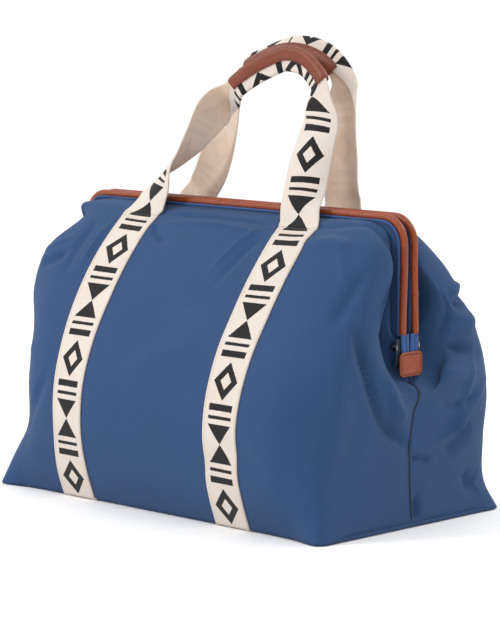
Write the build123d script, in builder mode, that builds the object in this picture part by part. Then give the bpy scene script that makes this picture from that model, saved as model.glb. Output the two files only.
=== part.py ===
from build123d import *
from math import cos, radians, sin, sqrt
import os

# Weekend-size diaper bag with a doctor-bag mouth: two wired frame halves, zipped
# together, hinge open at the ends of the bag; a webbing handle swings on each half.
# Millimetres, +X along the bag, -Y towards its front, +Z up, Z = 0 on the ground.

# body of the bag
base_length = 550.0
base_depth = 310.0
base_corner = 24.0
canvas = 3.0  # canvas with its interlining
gap = 0.4  # air left between two pieces that lie on each other
base_low = 1.6
base_thick = 2.4
wall_foot = base_low + base_thick + gap  # where the walls start
wall_foot_y = 148.0
wall_belly_y = 173.0
wall_belly_z = 110.0
wall_top_y = 137.0
wall_top_z = 222.0
wall_half = 268.0  # half the length of the front and rear walls
end_thick = 2.5
end_top_z = 201.0  # height of the end walls at their centre seam
end_low_half = 34.0  # the end walls keep that height this far from the seam
end_high_width = 12.0  # width of the end walls where they meet the long walls' top

# base board, lining and pockets
board_length = 520.0
board_depth = 276.0
board_thick = 4.0
lining_thick = 1.2
lining_top_z = 214.0
lining_half = 264.5
lining_end_thick = 1.5
pocket_thick = 2.4
pocket_half = 205.0
pocket_low_z = 34.0
pocket_high_z = 150.0

# frame halves: each part is a band that follows the mouth's rounded U
rim_z = 360.5  # centre line of the piping along the top
rim_half = 268.5  # centre line of the piping on the legs
rim_corner = 30.0
piping_d = 9.0
piping_y = 10.0
piping_foot = 225.0
casing_near_y = 6.2
casing_far_y = 14.0
casing_top = -4.7  # offsets inward from the piping's centre line
casing_low = -18.5
casing_foot = 223.0
wire_d = 5.0
wire_clear = 0.3
wire_over = 1.0  # the channel runs out of the casing, and the wire into its eye, by this
tape_near_y = 5.0
tape_far_y = 6.0
tape_top = -2.8
tape_low = -16.0
tape_foot = 222.0
chain_near_y = 0.8
chain_far_y = 4.8
chain_top = -2.5
chain_low = -5.5
chain_foot = 226.0

# frame hinges, hidden behind the leather end tabs
hinge_y = 12.0
hinge_z = 212.0
pin_d = 5.0
pin_clear = 0.06
eye_d = 11.0
eye_width = 4.0
plate_x = 266.1
plate_thick = 1.7
plate_low_z = 178.0
plate_lobe = 8.0
pin_length = 13.0
tab_thick = 2.5
tab_low_z = 172.0
tab_high_z = 202.5
tab_half_y = 18.5
tab_corner = 7.0

# upper panels, which join the frame halves to the walls
upper_foot_y = 130.5
upper_foot_z = 223.5
upper_mid_y = 88.0
upper_mid_z = 295.0
upper_top_y = 25.0
upper_top_z = 349.5
upper_half = 256.0
upper_end_thick = 2.0
upper_lining_half = 253.0
upper_near_y = 15.0
upper_cheek_low_z = 234.0
upper_cheek_drop = 4.0  # the end cheeks stop this far under the panel's top edge
upper_lap = 3.0  # degrees by which the upper lining runs past the panel, each end
strip_lap = 2.0  # degrees by which the webbing runs past the panel's top edge

# webbing and handles
webbing = 55.0
webbing_thick = 2.0
strap_x = 132.0
loop_x = 126.0  # half the distance between the feet of a handle
base_webbing_thick = 1.3
base_webbing_length = 302.0
pivot_y = 38.0
pivot_z = 350.0
strap_foot = 3.0  # the strap starts this far from the swing axis
strap_rise = 131.0  # from the swing axis to where the webbing starts to narrow
grip_half = 72.0
grip_rise = 162.0  # from the swing axis to the ends of the grip
grip_arch = 38.0
grip_width = 23.0
grip_depth = 16.0
core_width = 18.0
core_depth = 6.0
grip_gap = 0.5
grip_short = 2.0  # degrees by which the leather stops short of the folded webbing, each end
neck_out = 8.0  # the full-width webbing ends this far beyond the grip's end

# zip slider and pull
slider_half = 4.5
slider_length = 16.0
slider_rest_x = -222.0
slider_plate = 1.4
slider_top = -0.2
slider_low = -8.2
ear_in = 1.0  # the two ears for the pull stand this far in from the slider's sides
bridge_half = 0.4
loop_height = 3.8
loop_length = 5.0
loop_wire = 1.2
pull_length = 26.0
pull_half = 3.6
pull_thick = 1.6
pull_pin_d = 1.8
pull_pin_clear = 0.05
pull_pin_z = rim_z + 1.9
pull_side_clear = 0.3
pull_start = 1.0  # the blade starts this far beyond the slider's ears
seat = 0.2  # the ears sink this far into the slider's top plate

os.makedirs("parts", exist_ok=True)
halves = ((-1, "front"), (1, "rear"))
hands = ((-1, "left"), (1, "right"))


def save(part, name):
    part.label = name
    export_step(part, "parts/" + name + ".step")


def arc_through(foot, belly, top):
    """Centre and radius of the circle through three (y, z) points."""
    ax, ay = belly[0] - foot[0], belly[1] - foot[1]
    bx, by = top[0] - foot[0], top[1] - foot[1]
    turn = 2 * (ax * by - ay * bx)
    a2 = ax * ax + ay * ay
    b2 = bx * bx + by * by
    cy = (by * a2 - ay * b2) / turn
    cz = (ax * b2 - bx * a2) / turn
    return foot[0] + cy, foot[1] + cz, sqrt(cy * cy + cz * cz)


wall_arc = arc_through((wall_foot_y, wall_foot), (wall_belly_y, wall_belly_z), (wall_top_y, wall_top_z))
upper_arc = arc_through((upper_foot_y, upper_foot_z), (upper_mid_y, upper_mid_z), (upper_top_y, upper_top_z))


def on_wall(z, inward):
    """Distance from the mid plane to a surface inside the wall's outer face, at height z."""
    y, centre_z, radius = wall_arc
    return y + sqrt((radius - inward) ** 2 - (z - centre_z) ** 2)


def wall_sheet(side, low, high, outside, thick, half):
    """A sheet that follows the curve of a wall: outside is its outer face's distance in."""
    inside = outside + thick
    middle = (low + high) / 2
    with BuildPart() as sheet:
        with BuildSketch(Plane.YZ):
            with BuildLine():
                ThreePointArc(
                    (side * on_wall(low, outside), low),
                    (side * on_wall(middle, outside), middle),
                    (side * on_wall(high, outside), high),
                )
                Line((side * on_wall(high, outside), high), (side * on_wall(high, inside), high))
                ThreePointArc(
                    (side * on_wall(high, inside), high),
                    (side * on_wall(middle, inside), middle),
                    (side * on_wall(low, inside), low),
                )
                Line((side * on_wall(low, inside), low), (side * on_wall(low, outside), low))
            make_face()
        extrude(amount=half, both=True)
    return sheet.part


def upper_point(angle, outward):
    """(y, z) on a surface outward of the upper panel, at an angle about the panel's own centre."""
    y, z, radius = upper_arc
    return y + (radius + outward) * sin(radians(angle)), z + (radius + outward) * cos(radians(angle))


def upper_angle(y, z):
    """The angle about the upper panel's centre at which its arc reaches (y, z)."""
    return Vector(0, 1, 0).get_angle(Vector(y - upper_arc[0], z - upper_arc[1], 0))


upper_low = upper_angle(upper_foot_y, upper_foot_z)
upper_high = upper_angle(upper_top_y, upper_top_z)


def upper_sheet(side, low, high, outward, thick, half):
    """A sheet along the upper panel's arc: outward is the offset of its outer face."""
    inside = outward - thick
    middle = (low + high) / 2
    rim = [upper_point(a, outward) for a in (low, middle, high)]
    back = [upper_point(a, inside) for a in (high, middle, low)]
    with BuildPart() as sheet:
        with BuildSketch(Plane.YZ):
            with BuildLine():
                ThreePointArc(*[(side * y, z) for y, z in rim])
                Line((side * rim[2][0], rim[2][1]), (side * back[0][0], back[0][1]))
                ThreePointArc(*[(side * y, z) for y, z in back])
                Line((side * back[2][0], back[2][1]), (side * rim[0][0], rim[0][1]))
            make_face()
        extrude(amount=half, both=True)
    return sheet.part


def mouth_band(side, outer, inner, near, far, foot):
    """A flat band round the mouth's U, between two offsets from the piping's centre line."""
    start = max(side * near, side * far)
    with BuildPart() as band:
        with BuildSketch(Plane.XZ.offset(-start)):
            for offset_in, mode in ((outer, Mode.ADD), (inner, Mode.SUBTRACT)):
                x = rim_half + offset_in
                z = rim_z + offset_in
                with BuildLine():
                    FilletPolyline((-x, foot), (-x, z), (x, z), (x, foot), radius=rim_corner + offset_in)
                    Line((x, foot), (-x, foot))
                make_face(mode=mode)
        extrude(amount=far - near)
    return band.part


def mouth_rod(y, offset_in, diameter, foot):
    """A round rod bent to the mouth's U."""
    x = rim_half + offset_in
    z = rim_z + offset_in
    with BuildPart() as rod:
        with BuildLine() as path:
            FilletPolyline((-x, y, foot), (-x, y, z), (x, y, z), (x, y, foot), radius=rim_corner + offset_in)
        with BuildSketch(Plane((-x, y, foot), z_dir=(0, 0, 1))):
            Circle(diameter / 2)
        sweep(path=path.line)
    return rod.part


# ---- bag body: base, walls, lining -------------------------------------------------------
with BuildPart() as base_panel:
    with BuildSketch(Plane.XY.offset(base_low)):
        RectangleRounded(base_length, base_depth, base_corner)
    extrude(amount=base_thick)
save(base_panel.part, "base_panel")

with BuildPart() as base_board:
    with BuildSketch(Plane.XY.offset(wall_foot)):
        RectangleRounded(board_length, board_depth, base_corner / 2)
    extrude(amount=board_thick)
save(base_board.part, "base_board")

# front and rear outer panels: a curved wall with half of each end wall
for side, half in halves:
    with BuildPart() as outer_panel:
        add(wall_sheet(side, wall_foot, wall_top_z, 0, canvas, wall_half))
        with BuildSketch(Plane.YZ.offset(wall_half), Plane.YZ.offset(-wall_half - end_thick)):
            with BuildLine():
                Line((side * gap / 2, wall_foot), (side * wall_foot_y, wall_foot))
                ThreePointArc(
                    (side * wall_foot_y, wall_foot),
                    (side * wall_belly_y, wall_belly_z),
                    (side * wall_top_y, wall_top_z),
                )
                Polyline(
                    (side * wall_top_y, wall_top_z),
                    (side * (wall_top_y - end_high_width), wall_top_z),
                    (side * end_low_half, end_top_z),
                    (side * gap / 2, end_top_z),
                    (side * gap / 2, wall_foot),
                )
            make_face()
        extrude(amount=end_thick)
    save(outer_panel.part, half + "_outer_panel")

lining_foot = wall_foot + board_thick + gap
lining_foot_y = on_wall(lining_foot, canvas + gap)
lining_belly_y = on_wall(wall_belly_z, canvas + gap)
lining_top_y = on_wall(end_top_z, canvas + gap)
with BuildPart() as lining:
    for side, half in halves:
        add(wall_sheet(side, lining_foot, lining_top_z, canvas + gap, lining_thick, lining_half))
    with BuildSketch(Plane.YZ.offset(lining_half), Plane.YZ.offset(-lining_half - lining_end_thick)):
        with BuildLine():
            Line((-lining_foot_y, lining_foot), (lining_foot_y, lining_foot))
            ThreePointArc(
                (lining_foot_y, lining_foot),
                (lining_belly_y, wall_belly_z),
                (lining_top_y, end_top_z),
            )
            Line((lining_top_y, end_top_z), (-lining_top_y, end_top_z))
            ThreePointArc(
                (-lining_top_y, end_top_z),
                (-lining_belly_y, wall_belly_z),
                (-lining_foot_y, lining_foot),
            )
        make_face()
    extrude(amount=lining_end_thick)
    with BuildSketch(Plane.XY.offset(lining_foot)):
        Rectangle(2 * lining_half, 2 * lining_foot_y)
    extrude(amount=lining_thick)
save(lining.part, "lining")

# a flat row of slip pockets on each long side of the lining
for side, half in halves:
    pocket_in = canvas + lining_thick + 2 * gap
    pocket = wall_sheet(side, pocket_low_z, pocket_high_z, pocket_in, pocket_thick, pocket_half)
    save(pocket, half + "_pocket_row")

# ---- webbing sewn to the walls and under the base ----------------------------------------
for hand, place in hands:
    with BuildPart() as base_webbing:
        with BuildSketch(Plane.XY):
            with Locations((hand * strap_x, 0)):
                Rectangle(webbing, base_webbing_length)
        extrude(amount=base_webbing_thick)
    save(base_webbing.part, place + "_base_webbing")
    for side, half in halves:
        strip = wall_sheet(side, wall_foot, wall_top_z, -webbing_thick - gap, webbing_thick, webbing / 2)
        save(Pos(hand * strap_x, 0, 0) * strip, half + "_" + place + "_wall_webbing")

# ---- end tabs and frame hinges -----------------------------------------------------------
for hand, place in hands:
    with BuildPart() as end_tab:
        with BuildSketch(Plane.YZ.offset(hand * (wall_half + end_thick + gap))):
            with Locations((0, (tab_low_z + tab_high_z) / 2)):
                RectangleRounded(2 * tab_half_y, tab_high_z - tab_low_z, tab_corner)
        extrude(amount=hand * tab_thick)
    save(end_tab.part, place + "_end_tab")

    with BuildPart() as hinge_plate:
        with BuildSketch(Plane.YZ.offset(hand * plate_x)):
            with Locations((-hinge_y, hinge_z), (hinge_y, hinge_z)):
                Circle(plate_lobe)
            with Locations((0, (plate_low_z + hinge_z) / 2)):
                Rectangle(2 * hinge_y, hinge_z - plate_low_z)
        extrude(amount=hand * plate_thick)
        with BuildSketch(Plane.YZ.offset(hand * plate_x)):
            with Locations((-hinge_y, hinge_z), (hinge_y, hinge_z)):
                Circle(pin_d / 2)
        extrude(amount=-hand * pin_length)
    save(hinge_plate.part, place + "_hinge_plate")

# ---- the two frame halves ----------------------------------------------------------------
wire_in = (casing_top + casing_low) / 2
wire_x = rim_half + wire_in
wire_y = (casing_near_y + casing_far_y) / 2
for side, half in halves:
    piping = mouth_rod(side * piping_y, 0, piping_d, piping_foot)
    save(piping, half + "_piping")

    wire_channel = mouth_rod(side * wire_y, wire_in, wire_d + 2 * wire_clear, casing_foot - wire_over)
    with BuildPart() as casing:
        add(mouth_band(side, casing_top, casing_low, casing_near_y, casing_far_y, casing_foot))
        add(wire_channel, mode=Mode.SUBTRACT)
    save(casing.part, half + "_casing")

    # spring steel wire, with an eye round each hinge pin
    with BuildPart() as wire:
        add(mouth_rod(side * wire_y, wire_in, wire_d, hinge_z + eye_d / 2 - wire_over))
        with BuildSketch(Plane.YZ.offset(wire_x - eye_width / 2), Plane.YZ.offset(-wire_x - eye_width / 2)):
            with Locations((side * hinge_y, hinge_z)):
                Circle(eye_d / 2)
        extrude(amount=eye_width)
        with BuildSketch(Plane.YZ.offset(-wire_x - eye_width)):
            with Locations((side * hinge_y, hinge_z)):
                Circle(pin_d / 2 + pin_clear)
        extrude(amount=2 * wire_x + 2 * eye_width, mode=Mode.SUBTRACT)
    save(wire.part, half + "_frame_wire")

    save(mouth_band(side, tape_top, tape_low, tape_near_y, tape_far_y, tape_foot), half + "_zip_tape")
    save(mouth_band(side, chain_top, chain_low, chain_near_y, chain_far_y, chain_foot), half + "_zip_chain")

    # upper panel: a curved sheet with an end cheek at each end
    top_y, top_z = upper_point(upper_high, 0)
    mid_y, mid_z = upper_point((upper_low + upper_high) / 2, 0)
    foot_y, foot_z = upper_point(upper_low, 0)
    with BuildPart() as upper_panel:
        add(upper_sheet(side, upper_low, upper_high, 0, canvas, upper_half))
        with BuildSketch(Plane.YZ.offset(upper_half), Plane.YZ.offset(-upper_half - upper_end_thick)):
            with BuildLine():
                ThreePointArc((side * foot_y, foot_z), (side * mid_y, mid_z), (side * top_y, top_z))
                Polyline(
                    (side * top_y, top_z),
                    (side * upper_near_y, top_z - upper_cheek_drop),
                    (side * upper_near_y, upper_cheek_low_z),
                    (side * foot_y, foot_z),
                )
            make_face()
        extrude(amount=upper_end_thick)
    save(upper_panel.part, half + "_upper_panel")
    lining_low = upper_low - upper_lap
    lining_high = upper_high + upper_lap
    lining_arc = upper_sheet(side, lining_low, lining_high, -canvas - gap, lining_thick, upper_lining_half)
    save(lining_arc, half + "_upper_lining")
    for hand, place in hands:
        strip_high = upper_high + strip_lap
        strip = upper_sheet(side, upper_low, strip_high, webbing_thick + gap, webbing_thick, webbing / 2)
        save(Pos(hand * (strap_x + loop_x) / 2, 0, 0) * strip, half + "_" + place + "_top_webbing")

# ---- handles ------------------------------------------------------------------------------
# side, name, degrees of lean from upright towards +Y, shift of the grip along X, extra rise
handle_set = ((-1, "front", 21.0, 36.0, 2.5), (1, "rear", 5.5, 18.0, 0.0))
for side, half, lean, shift, extra in handle_set:
    swing = Plane(
        (0, side * pivot_y, pivot_z),
        x_dir=(1, 0, 0),
        z_dir=(0, -cos(radians(lean)), sin(radians(lean))),
    )
    arch_foot = grip_rise + extra
    arch_top = arch_foot + grip_arch
    centre_line = ((-grip_half + shift, arch_foot), (shift, arch_top), (grip_half + shift, arch_foot))
    arch_y, arch_z, arch_r = arc_through(*centre_line)
    narrow = core_width / 2

    def arch(distance, reach):
        """Points on the grip's arch: distance out from its centre line, reach in degrees each way."""
        return [
            (arch_y + (arch_r + distance) * sin(radians(a)), arch_z + (arch_r + distance) * cos(radians(a)))
            for a in (-reach, 0, reach)
        ]

    span = Vector(0, 1, 0).get_angle(Vector(grip_half, arch_foot - arch_z, 0))
    outer_core = arch(narrow, span)
    inner_core = arch(-narrow, span)
    with BuildPart() as strap:
        with BuildSketch(swing.offset(-webbing_thick / 2)):
            for hand, near, far in ((-1, inner_core[0], outer_core[0]), (1, inner_core[2], outer_core[2])):
                foot_x = hand * loop_x
                neck_x = hand * (grip_half + neck_out) + shift
                with BuildLine():
                    Polyline(
                        (foot_x - hand * webbing / 2, strap_foot),
                        (foot_x + hand * webbing / 2, strap_foot),
                        (neck_x + hand * webbing / 2, strap_rise + extra),
                        far,
                        near,
                        (neck_x - hand * webbing / 2, strap_rise + extra),
                        (foot_x - hand * webbing / 2, strap_foot),
                    )
                make_face()
        extrude(amount=webbing_thick)
        with BuildSketch(swing.offset(-core_depth / 2)):
            with BuildLine():
                ThreePointArc(*outer_core)
                Line(outer_core[2], inner_core[2])
                ThreePointArc(*reversed(inner_core))
                Line(inner_core[0], outer_core[0])
            make_face()
        extrude(amount=core_depth)
    save(strap.part, half + "_handle_webbing")

    # leather wrap round the folded webbing
    wrap = grip_width / 2
    hollow = narrow + grip_gap
    reach = span - grip_short
    grip_shapes = (
        (arch(wrap, reach), arch(-wrap, reach), grip_depth, Mode.ADD),
        (arch(hollow, span), arch(-hollow, span), core_depth + 2 * grip_gap, Mode.SUBTRACT),
    )
    with BuildPart() as grip:
        for outside, inside, depth, mode in grip_shapes:
            with BuildSketch(swing.offset(-depth / 2)):
                with BuildLine():
                    ThreePointArc(*outside)
                    Line(outside[2], inside[2])
                    ThreePointArc(*reversed(inside))
                    Line(inside[0], outside[0])
                make_face()
            extrude(amount=depth, mode=mode)
    save(grip.part, half + "_grip")

# ---- zip slider and its pull --------------------------------------------------------------
slider_mid_z = rim_z + (slider_top + slider_low) / 2
ear_low_z = rim_z + slider_top - seat
with BuildPart() as zip_slider:
    with BuildSketch(Plane.XY.offset(rim_z + slider_top - slider_plate), Plane.XY.offset(rim_z + slider_low)):
        with Locations((slider_rest_x, 0)):
            RectangleRounded(slider_length, 2 * slider_half, slider_half / 2)
    extrude(amount=slider_plate)
    with Locations((slider_rest_x, 0, slider_mid_z)):
        Box(slider_length / 2, 2 * bridge_half, slider_top - slider_low - slider_plate)
    for ear_y in (ear_in - slider_half, slider_half - ear_in - loop_wire):
        with BuildSketch(Plane.XZ.offset(ear_y)):
            with Locations((slider_rest_x, ear_low_z + (loop_height + seat) / 2)):
                Rectangle(loop_length, loop_height + seat)
            with Locations((slider_rest_x, pull_pin_z)):
                Circle(pull_pin_d / 2 + pull_pin_clear, mode=Mode.SUBTRACT)
        extrude(amount=loop_wire)
save(zip_slider.part, "zip_slider")

pull_neck = slider_half - ear_in - loop_wire - pull_side_clear
pull_rear_x = slider_rest_x + loop_length / 2  # where the slider's ears end
neck_low_x = slider_rest_x - pull_thick / 2
neck_high_x = pull_rear_x + pull_start + seat
with BuildPart() as zip_pull:
    with BuildSketch(Plane.XZ.offset(ear_in - slider_half)):
        with Locations((slider_rest_x, pull_pin_z)):
            Circle(pull_pin_d / 2)
    extrude(amount=2 * (slider_half - ear_in))
    with BuildSketch(Plane.XY.offset(pull_pin_z - pull_thick / 2)):
        with Locations(((neck_low_x + neck_high_x) / 2, 0)):
            Rectangle(neck_high_x - neck_low_x, 2 * pull_neck)
        with Locations((pull_rear_x + pull_start + pull_length / 2, 0)):
            RectangleRounded(pull_length, 2 * pull_half, pull_half / 2)
    extrude(amount=pull_thick)
save(zip_pull.part, "zip_pull")
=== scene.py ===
import math

import bmesh
import bpy
import numpy as np
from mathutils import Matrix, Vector


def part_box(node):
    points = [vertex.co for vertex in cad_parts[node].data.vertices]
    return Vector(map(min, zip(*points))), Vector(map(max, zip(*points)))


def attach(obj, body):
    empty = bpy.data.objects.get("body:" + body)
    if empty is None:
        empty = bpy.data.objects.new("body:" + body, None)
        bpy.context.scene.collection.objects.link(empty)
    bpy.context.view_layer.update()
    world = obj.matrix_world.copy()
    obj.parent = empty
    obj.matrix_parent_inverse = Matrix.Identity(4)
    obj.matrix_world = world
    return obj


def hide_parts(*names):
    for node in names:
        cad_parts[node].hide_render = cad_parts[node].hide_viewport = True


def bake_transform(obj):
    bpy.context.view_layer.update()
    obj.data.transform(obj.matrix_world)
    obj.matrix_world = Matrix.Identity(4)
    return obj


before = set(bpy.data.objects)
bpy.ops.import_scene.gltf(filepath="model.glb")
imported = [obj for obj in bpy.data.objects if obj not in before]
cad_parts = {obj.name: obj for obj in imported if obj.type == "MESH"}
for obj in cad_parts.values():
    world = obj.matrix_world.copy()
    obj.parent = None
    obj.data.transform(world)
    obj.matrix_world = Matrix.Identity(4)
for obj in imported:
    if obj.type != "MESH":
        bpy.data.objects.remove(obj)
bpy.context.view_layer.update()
print("frame loaded")


def smooth(x):
    x = np.clip(x, 0, 1)
    return x * x * (3 - 2 * x)


# net of points over one quarter of the bag, mm: rows go up from the base to the hem,
# columns go from the middle of the long side round the corner to the seam of the end
shellNet = [
    [(0, 150, 2), (132, 150, 2), (225, 152, 2), (274, 157, 2), (276, 100, 2), (276, 46, 2), (276, 22, 2),
     (276, 0, 2)],
    [(0, 160, 30), (132, 160, 30), (224, 160, 30), (266, 151, 30), (273, 102, 30), (274, 48, 30),
     (274, 23, 30), (273, 0, 30)],
    [(0, 172, 84), (132, 172, 84), (218, 170, 84), (257, 148, 84), (271, 103, 84), (273, 50, 84),
     (273, 24, 84), (271, 0, 84)],
    [(0, 170, 138), (132, 170, 138), (221, 167, 138), (261, 140, 138), (276, 94, 138), (280, 44, 135),
     (279, 22, 130), (275, 0, 128)],
    [(0, 152, 195), (132, 152, 195), (226, 149, 195), (264, 124, 195), (280, 86, 189), (284, 46, 171),
     (284, 24, 157), (284, 0, 152)],
    [(0, 122, 247), (132, 122, 247), (228, 117, 247), (265, 97, 246), (277, 78, 234), (278, 54, 202),
     (279, 37, 166), (284, 0, 161)],
    [(0, 88, 298), (132, 84, 300), (228, 80, 303), (262, 70, 300), (274, 48, 280), (272, 57, 232),
     (262, 39, 186), (278, 0, 166)],
    [(0, 54, 336), (132, 52, 335), (232, 51, 339), (259, 40, 334), (267, 27, 308), (264, 48, 248),
     (245, 35, 208), (271, 0, 171)],
    [(0, 29, 350), (130, 30, 350), (235, 27, 352), (256, 24, 337), (252, 20, 310), (233, 38, 258),
     (241, 28, 220), (270, 0, 196)],
    [(0, 15.4, 354), (132, 15.4, 354), (230, 15.2, 353.5), (250, 15, 341), (254, 15, 302), (253, 15, 258),
     (260, 19, 226), (269, 0, 221)],
]
netAcross = [0, 132, 225, 275, 329, 384, 407, 430]  # where the columns stand, mm round from the middle
# how far each row's corner is pushed out (+) or pulled in (-), mm: the two ends slump differently
cornerShift = {
    (-1, -1): [0, -3, -18, -17, -12, 8, 8, -12, 7, 1],
    (-1, 1): [0, 0, 0, 0, 0, 0, 3, 2, 0, 0],
    (1, -1): [0, -2, -8, -8, -4, 4, 4, -6, -4, 0],
    (1, 1): [0, -5, 1, 7, 9, 7, 0, -9, -4, 0],
}
cornerReach = [0, 0.1, 0.6, 1, 0.8, 0.35, 0.1, 0.1]  # share of that shift in each column
# at this corner (side, end) a point of the net, in this row and column, stands up by so many mm
peak = {"corner": (-1, -1), "row": 8, "column": 3, "rise": 7}


def throughPoints(values, knots, at):
    # smooth curve through values at uneven knots, along the first axis
    values = np.asarray(values, float)
    knots = np.asarray(knots, float)
    step = np.diff(knots)
    slope = np.diff(values, axis=0) / step.reshape(-1, *[1] * (values.ndim - 1))
    tangent = np.zeros_like(values)
    w = (step[:-1] / (step[:-1] + step[1:])).reshape(-1, *[1] * (values.ndim - 1))
    tangent[1:-1] = slope[:-1] * (1 - w) + slope[1:] * w
    tangent[0], tangent[-1] = slope[0], slope[-1]
    i = np.clip(np.searchsorted(knots, at, side="right") - 1, 0, len(step) - 1)
    shape = (-1, *[1] * (values.ndim - 1))
    h = step[i].reshape(shape)
    t = ((at - knots[i]) / step[i]).reshape(shape)
    a, b, c, d = values[i], values[i + 1], tangent[i] * h, tangent[i + 1] * h
    near, far = 2 * t**3 - 3 * t**2 + 1, 3 * t**2 - 2 * t**3
    return a * near + b * far + c * (t**3 - 2 * t**2 + t) + d * (t**3 - t**2)


def shellGrid(side, across=273, up=139):
    # points of the front (side -1) or rear (side 1) half of the canvas shell, metres
    quarter = np.array(shellNet, float)
    diagonal = (0.71, 0.70, 0)  # the way a corner is pushed
    ends = []
    for end in (-1, 1):
        shift = np.outer(cornerShift[side, end], cornerReach)
        corner = quarter + shift[:, :, None] * diagonal
        if (side, end) == peak["corner"]:
            corner[peak["row"], peak["column"], 2] += peak["rise"]
        ends.append(corner * (end, side, 1))
    net = np.concatenate([ends[0][:, :0:-1], ends[1]], axis=1)
    knots = [-c for c in netAcross[:0:-1]] + netAcross
    rowKnots = np.concatenate([[0], np.cumsum(np.linalg.norm(np.diff(quarter[:, 1], axis=0), axis=1))])
    rows = throughPoints(net, rowKnots, np.linspace(0, rowKnots[-1], up))
    grid = throughPoints(rows.swapaxes(0, 1), knots, np.linspace(knots[0], knots[-1], across))
    return grid.swapaxes(0, 1) / 1000


def hexColour(code):
    # an sRGB hex value as the linear colour that the shader wants
    parts = [int(code[i:i + 2], 16) / 255 for i in (1, 3, 5)]
    return tuple(c / 12.92 if c <= 0.04045 else ((c + 0.055) / 1.055) ** 2.4 for c in parts) + (1,)


def addNode(tree, kind, inputs=None, **settings):
    # an input is given a plain value, a socket, or a node, whose first output it then takes
    node = tree.nodes.new(kind)
    for name, value in settings.items():
        setattr(node, name, value)
    for name, value in (inputs or {}).items():
        if isinstance(value, bpy.types.Node):
            value = value.outputs[0]
        if isinstance(value, bpy.types.NodeSocket):
            tree.links.new(value, node.inputs[name])
        else:
            node.inputs[name].default_value = value
    return node


def newMaterial(name, roughness, **sockets):
    material = bpy.data.materials.new(name)
    material.use_nodes = True
    tree = material.node_tree
    tree.nodes.clear()
    shader = addNode(tree, "ShaderNodeBsdfPrincipled", {"Roughness": roughness, **sockets})
    addNode(tree, "ShaderNodeOutputMaterial", {"Surface": shader.outputs[0]})
    return material, tree, shader


def bandScale(pitch):
    # scale of a band texture whose lines are this many mm apart
    return 2 * math.pi / 20 / (pitch / 1000)


def weaveHeight(tree, vector, pitch, distortion=0.4):
    # two crossing band patterns: the over and under of warp and weft
    bands = []
    for direction in ("X", "Y"):
        bands.append(addNode(tree, "ShaderNodeTexWave", {"Vector": vector, "Scale": bandScale(pitch),
                     "Distortion": distortion, "Detail": 1.0}, bands_direction=direction).outputs["Fac"])
    return addNode(tree, "ShaderNodeMath", {0: bands[0], 1: bands[1]}, operation="MULTIPLY")


canvasLook = {"deep": "#21395E", "mid": "#2A466F", "pale": "#37547D", "thread": 1.1, "slub": (90, 900, 1),
              "slubShow": 0.34}


def canvasMaterial():
    # plain woven cotton canvas, dyed blue: matt, slightly hairy, cloudy, with paler slubs, softly rumpled
    look = canvasLook
    material, tree, shader = newMaterial("cottonCanvas", 0.82, **{
        "Sheen Weight": 0.05, "Sheen Roughness": 0.5, "Specular IOR Level": 0.25})
    uv = addNode(tree, "ShaderNodeTexCoord").outputs["UV"]
    cloudy = addNode(tree, "ShaderNodeTexNoise", {"Vector": uv, "Scale": 11, "Detail": 3.0, "Roughness": 0.6})
    drawnOut = addNode(tree, "ShaderNodeMapping", {"Vector": uv, "Scale": look["slub"]})
    slub = addNode(tree, "ShaderNodeTexNoise", {"Vector": drawnOut, "Scale": 1.0, "Detail": 2.0})
    weave = weaveHeight(tree, uv, look["thread"])
    base = addNode(tree, "ShaderNodeMix", {0: cloudy, 6: hexColour(look["deep"]), 7: hexColour(look["mid"])},
                   data_type="RGBA")
    threads = addNode(tree, "ShaderNodeMath", {0: slub, 1: weave}, operation="ADD")
    share = addNode(tree, "ShaderNodeMath", {0: threads, 1: look["slubShow"]}, operation="MULTIPLY")
    colour = addNode(tree, "ShaderNodeMix", {0: share, 6: base.outputs[2], 7: hexColour(look["pale"])},
                     data_type="RGBA")
    tree.links.new(colour.outputs[2], shader.inputs["Base Color"])
    halfWeave = addNode(tree, "ShaderNodeMath", {0: weave, 1: 0.5}, operation="MULTIPLY")
    halfSlub = addNode(tree, "ShaderNodeMath", {0: slub, 1: 0.5}, operation="MULTIPLY")
    height = addNode(tree, "ShaderNodeMath", {0: halfWeave, 1: halfSlub}, operation="ADD")
    fine = addNode(tree, "ShaderNodeBump", {"Height": height, "Strength": 0.5, "Distance": 0.0004})
    rumple = addNode(tree, "ShaderNodeTexNoise", {"Vector": uv, "Scale": 38, "Detail": 3.0, "Distortion": 0.6})
    bump = addNode(tree, "ShaderNodeBump", {"Height": rumple, "Strength": 0.35, "Distance": 0.0016,
                                            "Normal": fine})
    tree.links.new(bump.outputs[0], shader.inputs["Normal"])
    return material


# lengths in mm; the motif's figures stand at a centre along the webbing and reach so far to each side of it
# inner is a tan-brown laid in patches over the webbing's inner face: painted shade
webbingLook = {"cream": "#DDD3CB", "shade": "#D0C2B6", "print": "#1D1B1C", "ghost": "#CDBFB2",
               "inner": "#DDBC9F", "rib": 1.4, "period": 150, "reach": 19, "ragged": 1.2,
               "lozenge": (27, 23), "hole": 0.45,
               "dart": (103, 23), "bars": ((60, 4), (72, 2), (134, 2), (146, 4)),
               "ribShow": 0.22, "ghostShow": 0.07}


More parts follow.
